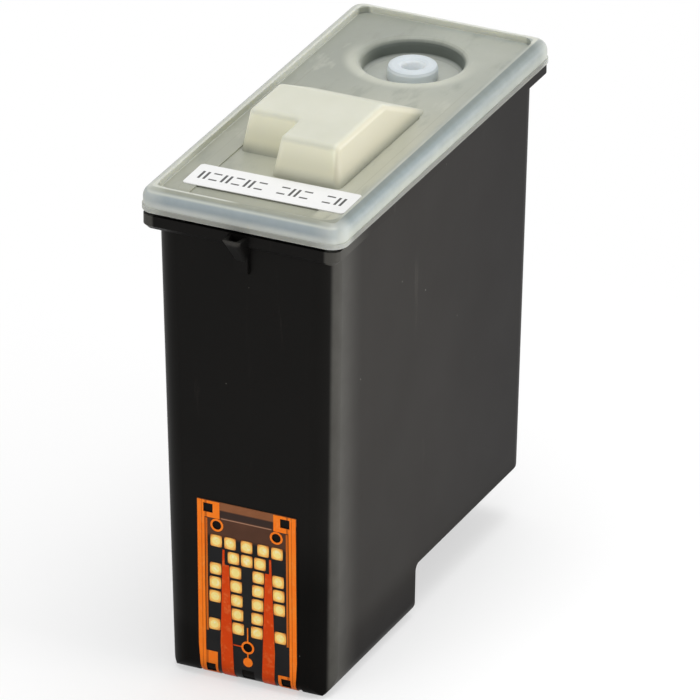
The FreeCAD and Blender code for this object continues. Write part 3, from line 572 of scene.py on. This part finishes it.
def copper():
    """Copper conductors under the film: glowing orange, redder in the middle, a little uneven."""
    g = Graph("copper")
    g.set(Specular_IOR_Level=0.08)
    cloud = g.noise(320, detail=4)
    fine = g.noise(1500, detail=3)
    out = g.apart(g.x, CIRCUIT_X)
    down = g.minus(FILM_HIGH.z, g.z)
    bus_inside, bus_outside = BUS_REACH
    bus = g.times(g.step(out, bus_outside, bus_outside - 0.3 * MM), g.step(down, 4.6 * MM, 5.0 * MM))
    bus = g.times(bus, g.step(out, bus_inside, bus_inside + 0.4 * MM))
    bright = g.tones(cloud, (255, 114, 16), (255, 142, 40))
    deep = g.tones(cloud, (208, 56, 0), (224, 78, 12))
    colour = g.mix(bus, bright, deep)
    colour = g.paint(colour, g.span(out, *STRIP_SEAM, 0.04 * MM), 0.45, (120, 40, 10))
    colour = g.paint(colour, g.step(fine, 0.5, 0.75), 0.16, (255, 176, 96))
    colour = g.paint(colour, g.span(out, *THIN_STRIP, 0.03 * MM), 0.5, (110, 48, 20))
    colour = g.paint(colour, g.step(g.z, 3.0 * MM, 0.8 * MM), 0.35, (120, 44, 16))
    g.colour(colour)
    g.roughness(g.blend(cloud, 0.28, 0.42))
    g.bump(g.noise(2400), 0.008 * MM, 0.5)
    return g.material


def pad_reach(g):
    """Distance from the middle of the nearest pad, for rows and columns that lean a little."""
    down = g.minus(FILM_HIGH.z, g.z)
    out = g.apart(g.x, CIRCUIT_X)
    from_top = g.minus(down, ROW_TOP)
    number = g.math("ROUND", g.math("DIVIDE", from_top, ROW_PITCH))
    rise = g.minus(from_top, g.times(number, ROW_PITCH))
    lean = g.minus(down, COLUMN_ROW)
    inner = g.minus(INNER_COLUMN, g.times(lean, INNER_SPREAD))
    outer = g.plus(OUTER_COLUMN, g.times(lean, OUTER_SPREAD))
    in_first = g.math("COMPARE", number, 0.0, 0.2)
    in_second = g.math("COMPARE", number, 1.0, 0.2)
    inner = g.blend(in_second, g.blend(in_first, inner, TOP_ROW_X), SECOND_ROW_X)
    near = g.least(g.least(g.apart(out, inner), g.apart(out, outer)), out)
    return g.length(near, rise)


def gold():
    """Plated pads, each with a paler dimple where a contact has pressed."""
    g = Graph("gold")
    g.set(Specular_IOR_Level=0.2)
    cloud = g.noise(900, detail=4)
    reach = g.plus(pad_reach(g), g.times(g.minus(cloud, 0.5), 0.35 * MM))
    plate = g.tones(cloud, (255, 184, 84), (255, 204, 108))
    colour = g.mix(g.step(reach, DIMPLE_R, 0.46 * MM), plate, srgb(255, 232, 142))
    glint = g.times(g.step(g.noise(2600, detail=3), 0.52, 0.64), g.step(reach, 0.5 * MM, 0.3 * MM))
    colour = g.paint(colour, glint, 0.55, (255, 250, 226))
    g.colour(g.paint(colour, g.step(reach, PLATE_R, 0.95 * MM), 0.85, (206, 108, 34)))
    g.roughness(g.blend(cloud, 0.32, 0.5))
    g.bump(g.step(reach, 0.55 * MM, 0.35 * MM), -0.03 * MM, 0.6)
    return g.material


# Inner pieces and the printhead

def grained(name, grain, dark, pale, rough, metal=0.0, depth=0.0):
    """Material between two tones of one grain, given by its scale, detail and roughness."""
    g = Graph(name)
    g.set(Metallic=metal)
    cells = g.noise(*grain)
    g.colour(g.tones(cells, dark, pale))
    g.roughness(g.blend(cells, *rough))
    if depth:
        g.bump(cells, depth)
    return g.material


def foam():
    """Open-celled foam, dark with ink."""
    return grained("foam", (1500, 4, 0.7), (18, 18, 22), (60, 60, 66), (0.8, 0.95), depth=0.2 * MM)


def screen_steel():
    """Bare steel with a very fine weave."""
    return grained("screen_steel", (9000, 1), (120, 120, 122), (190, 190, 192), (0.3, 0.5),
                   metal=1.0, depth=0.03 * MM)


def silicon():
    """Polished dark grey chip."""
    return grained("silicon", (800,), (60, 62, 70), (84, 86, 94), (0.12, 0.25), metal=0.4)


def nozzle_film():
    """Plated plate, a dull gold."""
    return grained("nozzle_film", (900, 3), (196, 160, 92), (222, 190, 124), (0.25, 0.4), metal=0.8)


def resin():
    """Cured dark resin, smooth and slightly wavy."""
    return grained("resin", (700, 3), (22, 18, 18), (40, 34, 32), (0.18, 0.35), depth=0.05 * MM)


dress("body", shell_plastic())
dress("lid", lid_plastic())
dress("fill_plug", plug_plastic())
dress("label", label_paper())
dress("flex_film", film())
dress("copper_traces", copper())
dress("contact_pads", gold())
dress("ink_foam", foam())
dress("filter_screen", screen_steel())
dress("printhead_chip", silicon())
dress("nozzle_plate", nozzle_film())
dress("encapsulant", resin())


# Stage

def seen_as_is(tree):
    """1 for the rays that show the stage: straight from the camera, off gloss, or through glass."""
    path = tree.nodes.new("ShaderNodeLightPath")
    seen = path.outputs["Is Camera Ray"]
    for ray in ("Is Glossy Ray", "Is Transmission Ray"):
        either = tree.nodes.new("ShaderNodeMath")
        either.operation = "MAXIMUM"
        tree.links.new(seen, either.inputs[0])
        tree.links.new(path.outputs[ray], either.inputs[1])
        seen = either.outputs[0]
    return seen


def mixed_shader(g, factor, first, second):
    """First shader where the factor is 0, second where it is 1."""
    node = g.add("ShaderNodeMixShader")
    g.link(factor, node.inputs[0])
    g.link(first, node.inputs[1])
    g.link(second, node.inputs[2])
    return node.outputs[0]


def floor_material():
    """Pale floor that keeps the shadow, fades to plain white away from the object and is open from below."""
    g = Graph("floor")
    g.colour(FLOOR_COLOUR)
    g.set(Roughness=0.9, Specular_IOR_Level=0.1, Emission_Color=WHITE)
    seen = seen_as_is(g.tree)
    g.feed(g.times(seen, FLOOR_LIFT), g.shader.inputs["Emission Strength"])
    far = g.step(g.length(g.x, g.y), *FLOOR_SHADE_R)
    fade = g.times(g.blend(far, SHADOW_FADE, 1.0), seen)
    white = g.add("ShaderNodeEmission").outputs[0]
    top = mixed_shader(g, fade, g.shader.outputs[0], white)
    from_below = g.add("ShaderNodeNewGeometry").outputs["Backfacing"]
    clear = g.add("ShaderNodeBsdfTransparent").outputs[0]
    g.link(mixed_shader(g, from_below, top, clear), g.output.inputs["Surface"])
    return g.material


def make_floor():
    """One wide flat face under the object."""
    mesh = bpy.data.meshes.new("floor")
    half = FLOOR_HALF
    corners = [(-half, -half, FLOOR_Z), (half, -half, FLOOR_Z), (half, half, FLOOR_Z), (-half, half, FLOOR_Z)]
    mesh.from_pydata(corners, [], [(0, 1, 2, 3)])
    floor = bpy.data.objects.new("floor", mesh)
    bpy.context.scene.collection.objects.link(floor)
    mesh.materials.append(floor_material())


def make_world():
    """White to the eye and a soft ambient light for the object."""
    world = bpy.data.worlds.new("studio")
    bpy.context.scene.world = world
    world.use_nodes = True
    tree = world.node_tree
    back = tree.nodes["Background"]
    back.inputs["Color"].default_value = WHITE
    level = tree.nodes.new("ShaderNodeMapRange")
    tree.links.new(seen_as_is(tree), level.inputs["Value"])
    level.inputs["To Min"].default_value = AMBIENT
    level.inputs["To Max"].default_value = 1.0
    tree.links.new(level.outputs["Result"], back.inputs["Strength"])


def area_light(name, place, aim, width, height, power):
    """Rectangular lamp that faces its aim."""
    data = bpy.data.lights.new(name, "AREA")
    data.shape = "RECTANGLE"
    data.size = width
    data.size_y = height
    data.energy = power
    lamp = bpy.data.objects.new(name, data)
    bpy.context.scene.collection.objects.link(lamp)
    lamp.location = place
    lamp.rotation_euler = (Vector(aim) - Vector(place)).to_track_quat("-Z", "Y").to_euler()


def make_camera():
    """Camera at the photograph's angle, rolled a little and slid to frame the object as there."""
    azimuth, elevation, roll = map(math.radians, (AZIMUTH, ELEVATION, ROLL))
    flat = math.cos(elevation)
    back = Vector((math.sin(azimuth) * flat, -math.cos(azimuth) * flat, math.sin(elevation)))
    level = (-back).cross(Vector((0, 0, 1))).normalized()
    upright = level.cross(-back)
    right = level * math.cos(roll) + upright * math.sin(roll)
    up = upright * math.cos(roll) - level * math.sin(roll)
    place = AIM + back * DISTANCE + right * SLIDE_RIGHT + up * SLIDE_UP
    data = bpy.data.cameras.new("camera")
    data.sensor_width = SENSOR
    data.lens = FOCAL_PX / IMAGE_W * SENSOR
    data.clip_start, data.clip_end = CLIP
    camera = bpy.data.objects.new("camera", data)
    bpy.context.scene.collection.objects.link(camera)
    turn = Matrix((right, up, back)).transposed()
    camera.matrix_world = Matrix.Translation(place) @ turn.to_4x4()
    bpy.context.scene.camera = camera


make_floor()
make_world()
make_camera()
for lamp in LAMPS:
    area_light(*lamp)

bpy.context.scene.view_settings.view_transform = "Standard"
